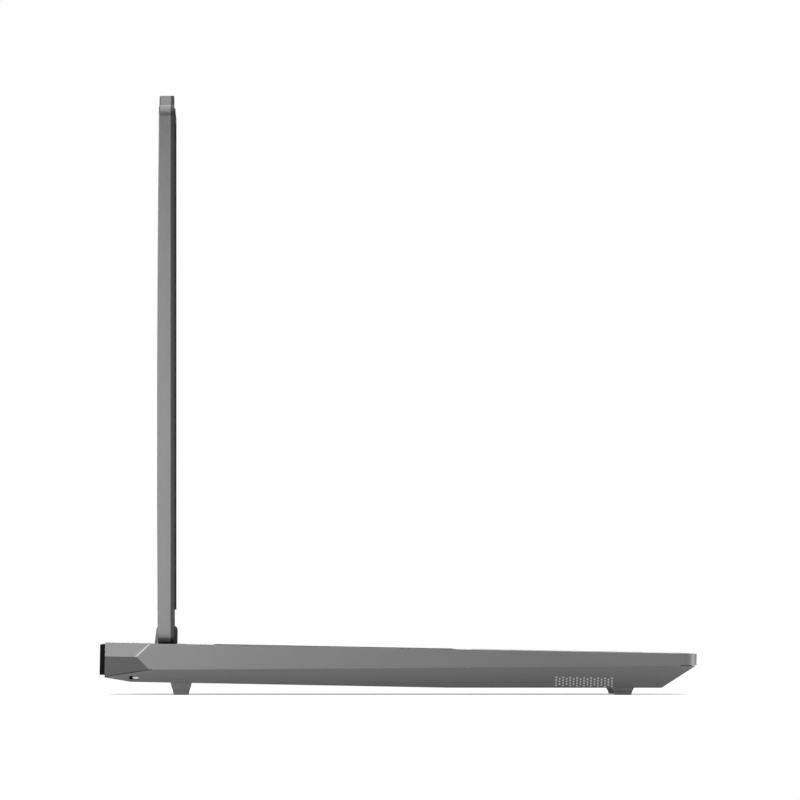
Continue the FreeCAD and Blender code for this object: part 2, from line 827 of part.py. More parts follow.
def make_heat_pipe(side):
    """A flattened pipe from the cold plates to the radiator."""
    top = board_top() - board_thickness - chip_thickness - cold_plate_thickness
    half = pipe_width / 2
    reach = fin_first_x + (fin_count - 1) * fin_pitch
    offset = half + wall
    near_y = chip_y + side * offset
    outline = [(side * -cold_plate_size, near_y - half),
               (side * (board_neck_half_width - half), near_y - half),
               (side * (board_neck_half_width - half), near_y + half),
               (side * -cold_plate_size, near_y + half)]
    run = prism_z(outline, top - pipe_thickness, top)
    rise_x = sorted((side * (board_neck_half_width - pipe_width - half),
                     side * (board_neck_half_width - half)))
    riser = box(rise_x[0], rise_x[1], near_y - half, fin_front_y - seat_gap, top - pipe_thickness, top)
    bar_x = sorted((side * (board_neck_half_width - pipe_width - half), side * reach))
    bar = box(bar_x[0], bar_x[1], fin_front_y - seat_gap - pipe_width, fin_front_y - seat_gap,
              top - pipe_thickness, top)
    return run.multiFuse([riser, bar]).removeSplitter()


def make_battery():
    """Battery pack: four cells side by side in one wrapped block."""
    width = 2 * battery_half_width / battery_cells
    cells = []
    for n in range(battery_cells):
        x = -battery_half_width + n * width
        cells.append(plate(x, x + width, battery_front_y, battery_rear_y, -battery_low_depth,
                           -battery_top_depth,
                           key_radius))
    return cells[0].multiFuse(cells[1:])


def make_speaker():
    return plate(-speaker_outer_x, -speaker_inner_x, speaker_front_y, speaker_rear_y, -speaker_low_depth,
                 -speaker_top_depth, corner_radius)


def floor_height(y):
    """Height of the underside above the table."""
    shift = y - deck_point(y, floor_drop(y))[0]
    return deck_point(y + shift, floor_drop(y + shift))[1]


def make_foot(x, y, pad_height):
    """A foot and its rubber pad: a bar that narrows towards the table."""
    top_front = floor_height(y - foot_half_top)
    top_rear = floor_height(y + foot_half_top)
    share = pad_height / floor_height(y)
    at_pad = foot_half_low + (foot_half_top - foot_half_low) * share
    foot = prism_x([(y - foot_half_top, top_front), (y - at_pad, pad_height), (y + at_pad, pad_height),
                    (y + foot_half_top, top_rear)], x - foot_half_length, x + foot_half_length)
    pad = prism_x([(y - at_pad, pad_height), (y - foot_half_low, 0), (y + foot_half_low, 0),
                   (y + at_pad, pad_height)],
                  x - foot_half_length, x + foot_half_length)
    return foot, pad


axis_y, axis_z = deck_point(hinge_y, hinge_rise)


def lid_outline(inset, low_inset):
    """The lid seen from the front, as a wire: round corners and a raised middle for the camera."""
    half = lid_half_width - inset
    low = axis_z - lid_below_axis + low_inset
    high = axis_z + lid_above_axis - inset
    radius = max(lid_corner - inset, seam)
    bump = bump_half_width - inset
    corners = [(-half, low), (half, low), (half, high), (bump + bump_slope, high), (bump, high + bump_rise),
               (-bump, high + bump_rise), (-bump - bump_slope, high), (-half, high)]
    face = polygon([V(x, 0, z) for x, z in corners])
    block = face.extrude(V(0, 2 * far, 0))
    upright = [e for e in block.Edges if e.BoundBox.YLength > far and abs(e.BoundBox.XMin) > half - 1]
    block = block.makeFillet(radius, upright)
    block.translate(V(0, axis_y - far, 0))
    return block


def lid_side(back_inset):
    """The lid seen from the side: flat front, softly crowned back."""
    low = axis_z - lid_below_axis
    high = axis_z + lid_above_axis + bump_rise
    middle = (low + high) / 2
    front = axis_y - lid_split
    back = [V(0, axis_y + lid_back_low - back_inset, low - 1),
            V(0, axis_y + lid_back_mid - back_inset, middle),
            V(0, axis_y + lid_back_top - back_inset, high + 1)]
    edges = [Part.Arc(*back).toShape(), Part.LineSegment(back[2], V(0, front, high + 1)).toShape(),
             Part.LineSegment(V(0, front, high + 1), V(0, front, low - 1)).toShape(),
             Part.LineSegment(V(0, front, low - 1), back[0]).toShape()]
    face = Part.Face(Part.Wire(edges))
    face.translate(V(-half_width, 0, 0))
    return face.extrude(V(2 * half_width, 0, 0))


def tower_notches(grow):
    """Room in the foot of the lid for the two hinge towers."""
    notches = []
    for side in (-1, 1):
        x0, x1 = sorted((side * tower_inner_x, side * tower_outer_x))
        notches.append(box(x0 - notch_gap - grow, x1 + notch_gap + grow, axis_y - far, axis_y + far,
                           axis_z - far,
                           axis_z + notch_radius + grow))
    return notches


def pin_holes():
    """Holes in the lid for the hinge pins."""
    holes = []
    for side in (-1, 1):
        x0, x1 = sorted((side * (tower_inner_x - leaf_width - lid_wall),
                         side * (tower_outer_x + pin_reach + lid_wall)))
        holes.append(rod(V(x0, axis_y, axis_z), V(1, 0, 0), pin_radius + running_gap, x1 - x0))
    return holes


def lid_hollow():
    """Space inside the lid for the display, the hinge leaves and the camera."""
    space = lid_outline(lid_wall, lid_wall).common(lid_side(lid_wall))
    return cut_all(space, tower_notches(lid_wall))


def make_lid_cover():
    cover = lid_outline(0, 0).common(lid_side(0))
    back = max(cover.Faces, key=lambda face: face.BoundBox.YMax * face.Area)
    cover = cover.makeChamfer(lid_edge, back.Edges)
    cover = cut_all(cover, tower_notches(0)).cut(lid_hollow())
    return cut_all(cover, pin_holes())


def make_bezel():
    front = axis_y - lid_front
    slab = lid_outline(0, 0).common(box(-half_width, half_width, front, axis_y - lid_split, 0,
                                        axis_z + lid_above_axis * 2))
    window = box(-window_half_width, window_half_width, front - far, front + far, axis_z + window_low,
                 axis_z + window_high)
    lens = rod(V(0, front - far, camera_z()), V(0, 1, 0), camera_radius + seam, 2 * far)
    return cut_all(slab, tower_notches(0) + [window, lens])


def camera_z():
    """Height of the camera, in the raised middle of the lid's top edge."""
    return axis_z + lid_above_axis + bump_rise / 2 - camera_drop


def make_gasket():
    """Rubber rim on the bezel, up both sides and across the top."""
    front = axis_y - lid_front
    half = lid_half_width - gasket_inset
    high = axis_z + lid_above_axis - gasket_inset
    low = axis_z + window_low
    outer = plate(-half, half, low - far, high, 0, gasket_rise, lid_corner - gasket_inset)
    inner = plate(-half + gasket_width, half - gasket_width, low - 2 * far, high - gasket_width, -1,
                  gasket_rise + 1,
                  seam)
    strip = outer.cut(inner).common(box(-half, half, low, high + 1, -1, gasket_rise + 1))
    strip.rotate(V(0, 0, 0), V(1, 0, 0), 90)
    strip.translate(V(0, front, 0))
    return strip


def make_panel():
    """The display panel behind the bezel's window."""
    front = axis_y - lid_split
    return box(-window_half_width - panel_margin, window_half_width + panel_margin, front,
               front + panel_thickness,
               axis_z + window_low - panel_margin, axis_z + window_high + panel_margin)


def make_camera():
    """Camera: a small board and a round lens that looks through the bezel."""
    front = axis_y - lid_split
    high = axis_z + lid_above_axis + bump_rise - 2 * lid_wall
    board = box(-camera_half_width, camera_half_width, front, front + lid_wall,
                axis_z + window_high + panel_margin + seam, high)
    lens = rod(V(0, front - lid_wall + seam, camera_z()), V(0, 1, 0), camera_radius, lid_wall - seam)
    return board.fuse(lens)


def make_hinge_leaf(side):
    """Lid half of a hinge: a pin through the tower and a leaf inside the lid."""
    inner = side * (tower_inner_x - leaf_width)
    outer = side * (tower_outer_x + pin_reach)
    x0, x1 = sorted((inner, outer))
    pin = rod(V(x0, axis_y, axis_z), V(1, 0, 0), pin_radius, x1 - x0)
    leaf_x = sorted((inner, side * (tower_inner_x - notch_gap - 2 * lid_wall)))
    back = axis_y + pin_radius
    leaf = box(leaf_x[0], leaf_x[1], back - lid_wall, back, axis_z, axis_z + leaf_length)
    return pin.fuse(leaf)


os.makedirs("parts", exist_ok=True)

keys = key_layout()
for name in keys:
    save(name, *[on_deck(keycap(*key)) for key in keys[name]])

save("top_case", on_deck(make_top_case()))
save("bottom_cover", on_deck(make_bottom_cover()))
save("rear_shroud", on_deck(make_rear_shroud()))
save("shroud_cheeks", on_deck(make_shroud_cheeks()))
save("rear_port_panel", on_deck(make_rear_panel()))
save("hinge_tower_left", on_deck(make_tower(-1)))
save("hinge_tower_right", on_deck(make_tower(1)))
save("keyboard_plate", on_deck(make_keyboard_plate()))
save("main_board", on_deck(make_board()))
save("battery", on_deck(make_battery()))
save("speaker_left", on_deck(make_speaker()))
save("speaker_right", on_deck(mirrored(make_speaker())))
save("fan_housing_left", on_deck(make_fan_housing(-fan_x)))
save("fan_housing_right", on_deck(make_fan_housing(fan_x)))
save("fan_wheel_left", on_deck(make_impeller(-fan_x)))
save("fan_wheel_right", on_deck(make_impeller(fan_x)))
save("radiator_fins", on_deck(make_fins(-1)), on_deck(make_fins(1)))
save("heat_pipes", on_deck(make_heat_pipe(-1)), on_deck(make_heat_pipe(1)))
save("processor_chips", *[on_deck(under_board(x, chip_y, chip_size, chip_size, 0, chip_thickness))
                          for x in chip_x])
save("cold_plates", *[on_deck(under_board(x, chip_y, cold_plate_size, cold_plate_size, chip_thickness,
                                          cold_plate_thickness)) for x in chip_x])
save("memory_modules", *[on_deck(under_board(memory_x, board_front_y + setback, *memory_size[:2], 0,
                                             memory_size[2]))
                         for setback in memory_setbacks])
card_y = board_front_y + card_setback
save("storage_drive", on_deck(under_board(drive_x, card_y, *drive_size[:2], 0, drive_size[2])))
save("wireless_card", on_deck(under_board(wireless_x, card_y, *wireless_size[:2], 0, wireless_size[2])))
save("power_inlet", on_deck(make_port(power_inlet_x, power_inlet_size)))
save("network_port", on_deck(make_port(network_x, network_size)))
save("video_port", on_deck(make_port(video_x, video_size)))
save("usb_a_ports", *[on_deck(make_port(x, usb_a_size)) for x in usb_a_x])
save("usb_c_port", on_deck(make_port(usb_c_x, usb_c_size)))
save("headset_jack", on_deck(make_jack()))
save("lens_cover_slider", on_deck(make_shutter()))
save("cover_screws", *[on_deck(screw(x, y, 0)) for x, y in screw_places()])

save("touchpad", on_deck(plate(-touchpad_width / 2, touchpad_width / 2, touchpad_front_y, touchpad_rear_y,
                               -key_drop - touchpad_thickness, -key_drop, key_radius)))
save("power_button", on_deck(rod(V(0, power_y, -key_drop - key_height), V(0, 0, 1), power_radius,
                                 key_height)))

feet = [(make_foot(x, rear_foot_y, rear_pad_height), make_foot(x, front_foot_y, front_pad_height))
        for x in (-foot_x, foot_x)]
save("rear_feet", *[rear[0] for rear, front in feet])
save("front_feet", *[front[0] for rear, front in feet])
save("foot_pads", *[foot[1] for pair in feet for foot in pair])

save("lid_cover", make_lid_cover())
save("display_bezel", make_bezel())
save("bezel_gasket", make_gasket())
save("display_panel", make_panel())
save("camera_module", make_camera())
save("hinge_leaf_left", make_hinge_leaf(-1))
save("hinge_leaf_right", make_hinge_leaf(1))
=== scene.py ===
import json
import math

import bpy
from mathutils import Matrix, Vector


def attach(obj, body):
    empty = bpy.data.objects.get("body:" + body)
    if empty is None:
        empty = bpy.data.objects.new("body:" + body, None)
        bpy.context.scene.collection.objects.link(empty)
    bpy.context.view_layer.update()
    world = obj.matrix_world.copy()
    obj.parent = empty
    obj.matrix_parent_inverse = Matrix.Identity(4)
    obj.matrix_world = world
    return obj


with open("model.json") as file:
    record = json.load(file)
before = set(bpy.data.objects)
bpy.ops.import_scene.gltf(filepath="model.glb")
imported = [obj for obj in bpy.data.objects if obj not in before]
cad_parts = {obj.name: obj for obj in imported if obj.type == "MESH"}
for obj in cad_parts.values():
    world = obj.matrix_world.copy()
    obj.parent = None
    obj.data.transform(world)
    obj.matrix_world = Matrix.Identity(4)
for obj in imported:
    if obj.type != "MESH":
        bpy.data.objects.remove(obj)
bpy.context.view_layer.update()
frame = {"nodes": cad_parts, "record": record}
nodes = frame["nodes"]

# Camera, in metres: a long lens, nearly square to the user's left-hand side.
SENSOR_MM = 36.0
LENS_MM = 1600.0
VIEW_WIDTH = 0.34829
VIEW_CENTRE_Y = -0.0007
VIEW_CENTRE_Z = 0.1285
NEAR_SIDE_X = -0.180
CAMERA_Y = 0.075
CAMERA_Z = 0.038
CLIP_START = 0.1
CLIP_END = 60.0

# The deck's own level frame, in millimetres, in which the pieces below are placed.
MM = 1000.0
DECK_RISE = 3.593
DECK_RUN = 192.95
DECK_SLOPE = math.atan2(DECK_RISE, DECK_RUN)
DECK_MID_Z = 20.4175

# Side walls: the crease between upper and lower wall runs down to the rear, as (y, z).
HALF_WIDTH = 180.0
LOWER_LEAN = 1.2
CREASE_FRONT = (-130.0, -5.0)
CREASE_REAR = (108.3, -11.3)
PROBE_START = 20.0

# Light plugs set nearly flush in the speaker holes and in the lock slot: painted light where the real holes
# are in shade, and in the slot a painted highlight of its lit inner wall.
GRILLE_FIRST_Y = -69.0
GRILLE_PITCH = 1.52
GRILLE_COLUMNS = 17
GRILLE_ROWS = 4
GRILLE_ROW_PITCH = 1.16
GRILLE_MID_Z = -13.15
DOT_RADIUS = 0.40
DOT_SINK = 0.06
DOT_DEPTH = 0.5
PLUG_STEPS = 16
LOCK_PLACE = (114.1, -15.0)
LOCK_HIGHLIGHT_SIZE = (1.45, 0.55)

# Painted highlight along the joint of shroud and case: a light strip in place of a lit chamfer. The lift is in
# metres.
JOINT_TOP = (107.7, 0.0)
JOINT_RIDGE = (113.8, -5.9)
EDGE_START = 0.06
EDGE_END = 0.98
EDGE_GAP = 0.05
EDGE_WIDTH = 1.0
EDGE_LIFT = 0.00002
EDGE_STEPS = 12

# Light filler in the seam between the upper case and the lower cover: painted light that hides the seam's
# shade.
SEAM_FRONT_Y = -123.0
SEAM_REAR_Y = 107.0
SEAM_GAP = 0.25
SEAM_CLEAR = 0.03
SEAM_SINK = 0.35
SEAM_DEPTH = 1.2

# Characters on the keys, rear row first and left to right, with a space for a blank cap.
ROW_REACH = 8.0
UPWARD = 0.99
PRINT_HEIGHT = 0.015
PRINT_SIZE = 5.6
PRINT_RESOLUTION = 2
PRINTS = {"number_keys": "`1234567890-=", "upper_letter_keys": "QWERTYUIOP[]/",
          "home_letter_keys": "ASDFGHJKL;'", "lower_letter_keys": "ZXCVBNM,./",
          "number_pad_keys": " /*-789+456 123 0. "}

# Fine rounding of the solids' sharp edges, in metres.
EDGE_ROUND = 0.0003
FOOT_ROUND = 0.0006
ROUND_SEGMENTS = 2
ROUND_ANGLE = math.radians(28)
EDGE_ROUNDED = ("top_case", "bottom_cover", "rear_shroud", "shroud_cheeks", "lid_cover", "display_bezel",
                "rear_feet", "hinge_tower_left", "hinge_tower_right", "rear_port_panel")
FOOT_ROUNDED = ("front_feet", "foot_pads")

# What all finishes share: slow drift of colour and gloss, sheen of the coat, depth of the grain in metres.
SLOW_SCALE = 22.0
SLOW_DETAIL = 3.0
SLOW_SEED = 4.0
FINE_SHARE = 0.65
GLOSS_LOW = 0.88
GLOSS_HIGH = 1.12
COAT_ROUGHNESS = 0.28
RELIEF_DEPTH = 0.00004

# Surroundings, and a round paper floor that glows a little.
WHITE = (1.0, 1.0, 1.0, 1.0)
AMBIENT = (0.30, 0.30, 0.30, 1.0)
FLOOR_RADIUS = 1.0
FLOOR_SIDES = 96
FLOOR_GLOW = 0.40

# Lamps, in metres and watts: place, target, size, power.
LAMPS = {
    "top_softbox": ((-0.1, 0.05, 1.7), (0, 0, 0.05), (2.4, 2.4), 42.0),
    "rear_left_lamp": ((-0.55, 0.24, 0.12), (-0.18, 0.06, 0.05), (0.25, 0.25), 1.25),
    "rear_strip": ((-0.45, 0.90, 0.32), (-0.10, 0.10, 0.14), (0.3, 0.6), 6.0),
    "front_strip": ((-0.12, -0.95, 0.16), (-0.10, -0.10, 0.03), (0.5, 0.2), 5.0),
    "right_fill": ((1.0, 0.10, 0.40), (0.1, 0.0, 0.06), (0.5, 0.5), 3.0),
}


def grey(level):
    """A neutral colour."""
    return (level, level, level)


# Finishes of the record's material slots, of the scene's own pieces and of the floor:
# colour, metal share, roughness, scale of the grain, strength of the grain.
FINISHES = {
    "lid_metal": (grey(0.084), 0.45, 0.38, 5200.0, 0.25),
    "case_metal": (grey(0.106), 0.40, 0.42, 5200.0, 0.25),
    "button_metal": (grey(0.24), 0.45, 0.36, 5200.0, 0.25),
    "touchpad_surface": (grey(0.150), 0.1, 0.34, 7000.0, 0.12),
    "shroud_plastic": (grey(0.098), 0.15, 0.48, 4200.0, 0.25),
    # Partly the cover's own dark plastic, partly painted shade of its downward-facing lower walls.
    "cover_plastic": ((0.068, 0.068, 0.0705), 0.1, 0.52, 2600.0, 0.35),
    # Partly a dark plastic, partly painted shade: darker so the downward-facing cheeks look shaded.
    "cheek_plastic_painted_shade": (grey(0.035), 0.0, 0.55, 2600.0, 0.35),
    # Painted light: a filler lighter than its neighbours, hiding the seam's shade.
    "seam_painted_light_filler": (grey(0.16), 0.0, 0.6, 2600.0, 0.2),
    # Painted highlight along the joint of shroud and case.
    "painted_joint_highlight": (grey(0.20), 0.2, 0.4, 5200.0, 0.2),
    # Painted light: the feet lighter than their slot, to make up for the shade under the base.
    "foot_plastic_painted_light": (grey(0.19), 0.0, 0.6, 2600.0, 0.35),
    "port_panel_plastic": (grey(0.003), 0.0, 0.8, 2600.0, 0.35),
    "bezel_plastic": (grey(0.010), 0.0, 0.5, 2600.0, 0.3),
    "black_rubber": (grey(0.016), 0.0, 0.75, 1600.0, 0.4),
    # Painted light: the pads lighter, to make up for the shade under the base.
    "pad_rubber": (grey(0.155), 0.0, 0.85, 1600.0, 0.4),
    "display_glass": ((0.006, 0.0065, 0.008), 0.0, 0.32, 9000.0, 0.05),
    "lens_black": ((0.006, 0.006, 0.011), 0.0, 0.22, 900.0, 0.02),
    "steel": (grey(0.52), 1.0, 0.32, 3000.0, 0.2),
    # This finish also colours the light plugs in the speaker holes and the lock slot, which are painted light.
    "grille_mesh": (grey(0.33), 0.2, 0.4, 6000.0, 0.3),
    "screw_steel": (grey(0.06), 0.9, 0.4, 3000.0, 0.2),
    "inner_metal": (grey(0.10), 0.8, 0.4, 3000.0, 0.2),
    "inner_plastic": (grey(0.018), 0.0, 0.55, 2600.0, 0.3),
    "circuit_board": ((0.012, 0.06, 0.035), 0.0, 0.4, 1500.0, 0.3),
    "battery_wrap": (grey(0.02), 0.0, 0.45, 1200.0, 0.2),
    "copper": ((0.13, 0.085, 0.06), 1.0, 0.35, 3000.0, 0.2),
    "chip_silicon": (grey(0.08), 0.6, 0.2, 3000.0, 0.1),
    "key_print": (grey(0.62), 0.0, 0.6, 2600.0, 0.1),
    "key_plastic": (grey(0.016), 0.0, 0.5, 3600.0, 0.3),
    "floor_paper": (grey(0.86), 0.0, 0.9, 900.0, 0.05),
}

# Finishes that differ from the usual drift of colour, specular level or coat.
UNUSUAL = {
    "lid_metal": {"coat": 0.6},
    "cheek_plastic_painted_shade": {"specular": 0.3},
    "port_panel_plastic": {"specular": 0.06},
    "bezel_plastic": {"specular": 0.35},
    "display_glass": {"specular": 0.14},
    "lens_black": {"specular": 0.25},
    "circuit_board": {"vary": 0.3},
    "key_plastic": {"specular": 0.4},
    "floor_paper": {"vary": 0.01},
}

# Nodes with a finish of their own: the cheeks darker than the shroud, partly a dark plastic and partly painted
# shade of their downward-facing walls; the feet lighter than their slot, painted light against the shade under
# the base.
OWN_FINISH = {"shroud_cheeks": "cheek_plastic_painted_shade", "rear_feet": "foot_plastic_painted_light", "front_feet": "foot_plastic_painted_light"}


def tree(name):
    """A new node material, with its nodes, links and Principled shader."""
    mat = bpy.data.materials.new(name)
    mat.use_nodes = True
    return mat, mat.node_tree.nodes, mat.node_tree.links, mat.node_tree.nodes["Principled BSDF"]


def grain(nodes_, links, scale, detail=2.0, seed=0.0):
    """A noise in the object's own coordinates."""
    coords = nodes_.new("ShaderNodeTexCoord")
    noise = nodes_.new("ShaderNodeTexNoise")
    noise.noise_dimensions = "4D"
    noise.inputs["W"].default_value = seed
    noise.inputs["Scale"].default_value = scale
    noise.inputs["Detail"].default_value = detail
    links.new(coords.outputs["Object"], noise.inputs["Vector"])
    return noise.outputs["Fac"]


def ramp(nodes_, links, factor, low, high, start=0.3, end=0.7):
    """Two colours blended by a factor."""
    node = nodes_.new("ShaderNodeValToRGB")
    node.color_ramp.elements[0].position = start
    node.color_ramp.elements[1].position = end
    node.color_ramp.elements[0].color = (*low, 1.0)
    node.color_ramp.elements[1].color = (*high, 1.0)
    links.new(factor, node.inputs["Fac"])
    return node.outputs["Color"]


def spread(nodes_, links, factor, low, high):
    """A factor stretched between two values."""
    node = nodes_.new("ShaderNodeMapRange")
    node.inputs["To Min"].default_value = low
    node.inputs["To Max"].default_value = high
    links.new(factor, node.inputs["Value"])
    return node.outputs["Result"]


def bumped(nodes_, links, shader, height, strength):
    """Fine relief on a surface."""
    bump = nodes_.new("ShaderNodeBump")
    bump.inputs["Strength"].default_value = strength
    bump.inputs["Distance"].default_value = RELIEF_DEPTH
    links.new(height, bump.inputs["Height"])
    links.new(bump.outputs["Normal"], shader.inputs["Normal"])


def finish_material(name, colour, metallic, roughness, grain_scale, relief,
                    vary=0.12, specular=0.5, coat=0.0):
    """A solid finish with fine grain, slow colour drift and uneven gloss."""
    mat, nodes_, links, shader = tree(name)
    fine = grain(nodes_, links, grain_scale)
    slow = grain(nodes_, links, SLOW_SCALE, SLOW_DETAIL, SLOW_SEED)
    low = tuple(c * (1.0 - vary) for c in colour)
    high = tuple(min(1.0, c * (1.0 + vary)) for c in colour)
    mix = nodes_.new("ShaderNodeMix")
    mix.data_type = "FLOAT"
    mix.inputs["Factor"].default_value = FINE_SHARE
    links.new(slow, mix.inputs[2])
    links.new(fine, mix.inputs[3])
    links.new(ramp(nodes_, links, mix.outputs[0], low, high), shader.inputs["Base Color"])
    gloss = spread(nodes_, links, slow, roughness * GLOSS_LOW, min(1.0, roughness * GLOSS_HIGH))
    links.new(gloss, shader.inputs["Roughness"])
    shader.inputs["Metallic"].default_value = metallic
    shader.inputs["Specular IOR Level"].default_value = specular
    shader.inputs["Coat Weight"].default_value = coat
    shader.inputs["Coat Roughness"].default_value = COAT_ROUGHNESS
    bumped(nodes_, links, shader, fine, relief)
    return mat


def make_materials():
    """Every finish, by name."""
    return {name: finish_material(name, *values, **UNUSUAL.get(name, {})) for name, values in FINISHES.items()}


def dress(materials):
    """Every solid gets the finish of its slot, or its own."""
    for part in frame["record"]["subparts"]:
        obj = nodes[part["node"]]
        obj.data.materials.clear()
        obj.data.materials.append(materials[OWN_FINISH.get(part["node"], part["material_slot"])])
        for poly in obj.data.polygons:
            poly.material_index = 0


def soften(name, width):
    """A fine rounding on the sharp edges of a solid."""
    bevel = nodes[name].modifiers.new("edge_round", "BEVEL")
    bevel.width = width
    bevel.segments = ROUND_SEGMENTS
    bevel.limit_method = "ANGLE"
    bevel.angle_limit = ROUND_ANGLE
    bevel.use_clamp_overlap = True
    bevel.harden_normals = True


def on_deck(x, y, z):
    """A place in the level deck frame, in millimetres, as a point of the part's frame in metres."""
    c, s = math.cos(DECK_SLOPE), math.sin(DECK_SLOPE)
    return (x / MM, (y * c - z * s) / MM, (DECK_MID_Z + y * s + z * c) / MM)


def deck_place(point):
    """A point of the part's frame in metres, as a place in the level deck frame in millimetres."""
    c, s = math.cos(DECK_SLOPE), math.sin(DECK_SLOPE)
    y, z = point.y * MM, point.z * MM - DECK_MID_Z
    return point.x * MM, y * c + z * s, z * c - y * s


def crease_z(y):
    """Height of the crease between the upper and lower side walls."""
    run = (y - CREASE_FRONT[0]) / (CREASE_REAR[0] - CREASE_FRONT[0])
    return CREASE_FRONT[1] + run * (CREASE_REAR[1] - CREASE_FRONT[1])


def side_wall_x(y, z):
    """How far the leaning lower side wall stands from the middle."""
    return HALF_WIDTH - LOWER_LEAN * (crease_z(y) - z)


def sided(name, side):
    """A piece's name with the side it is on."""
    return name + ("_left" if side < 0 else "_right")


def flipped(faces):
    """Faces turned to look the other way."""
    return [tuple(reversed(face)) for face in faces]


def new_piece(name, verts, faces, material, body):
    """A mesh of the scene's own that moves with a body."""
    mesh = bpy.data.meshes.new(name)
    mesh.from_pydata(verts, [], faces)
    mesh.validate()
    mesh.materials.append(material)
    obj = bpy.data.objects.new(name, mesh)
    bpy.context.scene.collection.objects.link(obj)
    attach(obj, body)
    return obj


def add_plug(verts, faces, side, place, size):
    """One closed round or oval plug that fills a hole nearly to the wall's outer face."""
    first = len(verts)
    for depth in (DOT_SINK, DOT_DEPTH):
        for n in range(PLUG_STEPS):
            turn = 2.0 * math.pi * n / PLUG_STEPS
            py, pz = place[0] + size[0] * math.cos(turn), place[1] + size[1] * math.sin(turn)
            verts.append(on_deck(side * (side_wall_x(py, pz) - depth), py, pz))
    front = [first + n for n in range(PLUG_STEPS)]
    back = [first + PLUG_STEPS + n for n in range(PLUG_STEPS)]
    loops = [tuple(front), tuple(reversed(back))]
    for n in range(PLUG_STEPS):
        following = (n + 1) % PLUG_STEPS
        loops.append((front[n], back[n], back[following], front[following]))
    faces.extend(loops if side > 0 else flipped(loops))


def painted_light_grille_dots(side, material):
    """Painted light in the speaker holes of one side: a small light plug set nearly flush in each hole, where
    the real holes are in shade.
    """
    verts, faces = [], []
    for column in range(GRILLE_COLUMNS):
        count = GRILLE_ROWS - column % 2
        y = GRILLE_FIRST_Y - column * GRILLE_PITCH
        for row in range(count):
            z = GRILLE_MID_Z + (row - (count - 1) / 2.0) * GRILLE_ROW_PITCH
            add_plug(verts, faces, side, (y, z), (DOT_RADIUS, DOT_RADIUS))
    return new_piece(sided("grille_mesh", side), verts, faces, material, "base")


def painted_lock_highlight(material):
    """Painted highlight in the front part of the lock slot: a light plug in place of its lit inner wall."""
    verts, faces = [], []
    add_plug(verts, faces, -1, LOCK_PLACE, LOCK_HIGHLIGHT_SIZE)
    return new_piece("lock_slot_painted_highlight", verts, faces, material, "base")


def side_hit(name, side, y, z):
    """Where a level line from one side meets a solid, or None."""
    obj = nodes[name]
    start = Vector(on_deck(side * (HALF_WIDTH + PROBE_START), y, z))
    found, place, _, _ = obj.ray_cast(obj.matrix_world.inverted() @ start, Vector((-side, 0.0, 0.0)))
    return obj.matrix_world @ place if found else None


def seam_strip(side, material):
    """Light filler in the long seam between the case's side and the lower cover: painted light that hides the
    seam's shade.
    """
    verts = []
    for y in (SEAM_FRONT_Y, SEAM_REAR_Y):
        crease = crease_z(y)
        for x in (HALF_WIDTH - SEAM_SINK, HALF_WIDTH - SEAM_DEPTH):
            for z in (crease - SEAM_CLEAR, crease - SEAM_GAP + SEAM_CLEAR):
                verts.append(on_deck(side * x, y, z))
    faces = [(0, 1, 5, 4), (2, 6, 7, 3), (0, 4, 6, 2), (1, 3, 7, 5), (0, 2, 3, 1), (4, 5, 7, 6)]
    if side < 0:
        faces = flipped(faces)
    return new_piece(sided("seam_painted_light_filler", side), verts, faces, material, "base")


def painted_joint_highlight(side, material):
    """Painted highlight: a light strip in place of a lit chamfer, along the upper joint between the shroud and
    the main case.
    """
    rows = []
    for n in range(EDGE_STEPS + 1):
        share = EDGE_START + (EDGE_END - EDGE_START) * n / EDGE_STEPS
        y = JOINT_TOP[0] + share * (JOINT_RIDGE[0] - JOINT_TOP[0])
        z = JOINT_TOP[1] + share * (JOINT_RIDGE[1] - JOINT_TOP[1])
        hits = [side_hit("rear_shroud", side, y + reach, z) for reach in (EDGE_GAP, EDGE_WIDTH)]
        if None not in hits:
            rows.append(hits)
    verts = []
    limit = HALF_WIDTH / MM - EDGE_LIFT / 4.0
    for near, far in rows:
        for lift in (EDGE_LIFT, -EDGE_LIFT):
            for hit in (near, far):
                verts.append((side * min(limit, abs(hit.x) + lift), hit.y, hit.z))
    faces = []
    for n in range(len(rows) - 1):
        a, b = 4 * n, 4 * n + 4
        faces += [(a, a + 1, b + 1, b), (a + 2, b + 2, b + 3, a + 3),
                  (a, b, b + 2, a + 2), (a + 1, a + 3, b + 3, b + 1)]
    last = 4 * (len(rows) - 1)
    faces += [(0, 2, 3, 1), (last, last + 1, last + 3, last + 2)]
    if side > 0:
        faces = flipped(faces)
    return new_piece(sided("painted_joint_highlight", side), verts, faces, material, "base")


def key_tops(name):
    """Middle of the flat top of each key cap in a node, row by row from the rear, left to right."""
    obj = nodes[name]
    turn = obj.matrix_world.to_3x3()
    tops = [set(poly.vertices) for poly in obj.data.polygons if (turn @ poly.normal).z > UPWARD]
    caps = []
    for corners in tops:
        joined = [cap for cap in caps if cap & corners]
        caps = [cap for cap in caps if not cap & corners]
        caps.append(corners.union(*joined))
    middles = []
    for cap in caps:
        places = [deck_place(obj.matrix_world @ obj.data.vertices[i].co) for i in cap]
        xs, ys = [place[0] for place in places], [place[1] for place in places]
        middles.append(((min(xs) + max(xs)) / 2, (min(ys) + max(ys)) / 2, max(place[2] for place in places)))
    return sorted(middles, key=lambda middle: (-round(middle[1] / ROW_REACH), middle[0]))


